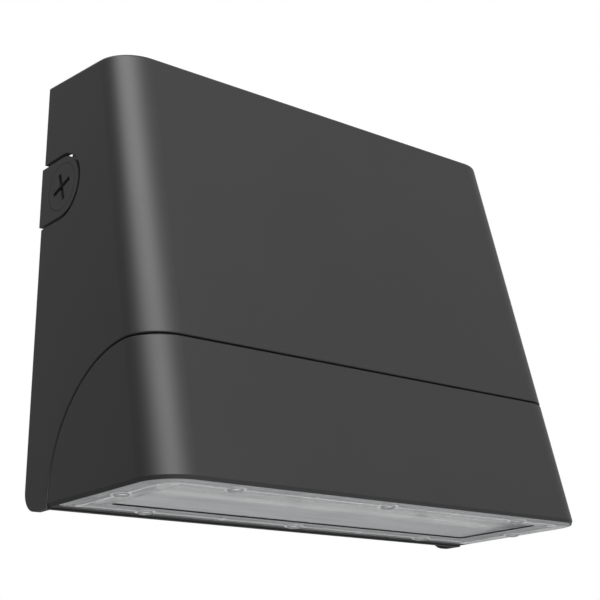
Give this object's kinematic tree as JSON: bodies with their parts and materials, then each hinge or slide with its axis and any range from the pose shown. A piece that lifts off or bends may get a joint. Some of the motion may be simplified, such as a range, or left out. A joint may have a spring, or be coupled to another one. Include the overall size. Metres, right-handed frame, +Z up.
{
  "type": "wall pack light",
  "caption": "Hooded wall pack light: wall box with side conduit ports, hinged housing, and a downward lighting head behind a flat clear lens.",
  "frame": {"origin": "centre of the outlet-box slots in the back of the wall box, on the wall plane", "axes": "+X to the right seen from in front, +Y into the wall, +Z up; the light stands out towards -Y and shines towards -Z"},
  "size_m": [0.24, 0.103, 0.1987],
  "materials": {
    "housing_paint": "dark grey powder coat, satin, very fine texture, on a die-cast aluminium",
    "seal_rubber": "soft black seal rubber, matte",
    "lens_clear": "clear moulded polycarbonate, glossy",
    "silicone": "pale translucent silicone, matte",
    "screw_steel": "zinc-plated steel",
    "ground_green": "green-plated steel",
    "frame_grey": "pale grey moulded plastic, satin",
    "diffuser_frost": "frosted sheet with fine streaks",
    "reflector_white": "white reflector, semi-gloss",
    "board_white": "white solder mask on an aluminium board",
    "chip_yellow": "phosphor-filled emitters",
    "plate_zinc": "galvanised sheet steel",
    "driver_shell": "pale grey painted can",
    "terminal_plastic": "ivory moulded plastic",
    "surge_plastic": "black moulded plastic"
  },
  "bodies": {
    "wall_box": {"back_box": "housing_paint", "wall_gasket": "seal_rubber", "box_seal": "seal_rubber", "ground_screw": "ground_green", "hinge_pins": "screw_steel"},
    "housing": {"upper_housing": "housing_paint", "lower_head": "housing_paint", "head_gasket": "seal_rubber", "head_screws": "screw_steel", "wire_grommet": "seal_rubber", "gear_plate": "plate_zinc", "gear_screws": "screw_steel", "driver_case": "driver_shell", "driver_screws": "screw_steel", "terminal_block": "terminal_plastic", "surge_protector": "surge_plastic", "lens": "lens_clear", "lens_gasket": "silicone", "lens_screws": "screw_steel", "window_frame": "frame_grey", "window_seal": "seal_rubber", "diffuser": "diffuser_frost", "reflector": "reflector_white", "led_board_left": "board_white", "led_board_right": "board_white", "led_chips_left": "chip_yellow", "led_chips_right": "chip_yellow", "board_screws": "screw_steel"},
    "conduit_plug_left": {"conduit_plug_left": "housing_paint", "plug_seal_left": "seal_rubber"},
    "conduit_plug_right": {"conduit_plug_right": "housing_paint", "plug_seal_right": "seal_rubber"},
    "lock_screw_left": {"lock_screw_left": "screw_steel"},
    "lock_screw_right": {"lock_screw_right": "screw_steel"}
  },
  "joints": [
    {"name": "cover_hinge", "type": "hinge", "parent": "wall_box", "child": "housing", "pos_m": [0, -0.0115, -0.106], "axis": [1, 0, 0], "range_deg": [0, 90]},
    {"name": "left_plug_slide", "type": "slide", "parent": "wall_box", "child": "conduit_plug_left", "axis": [-1, 0, 0], "range_m": [0, 0.02]},
    {"name": "right_plug_slide", "type": "slide", "parent": "wall_box", "child": "conduit_plug_right", "axis": [1, 0, 0], "range_m": [0, 0.02]},
    {"name": "left_lock_slide", "type": "slide", "parent": "housing", "child": "lock_screw_left", "axis": [0, 0, 1], "range_m": [0, 0.005]},
    {"name": "right_lock_slide", "type": "slide", "parent": "housing", "child": "lock_screw_right", "axis": [0, 0, 1], "range_m": [0, 0.005]}
  ]
}
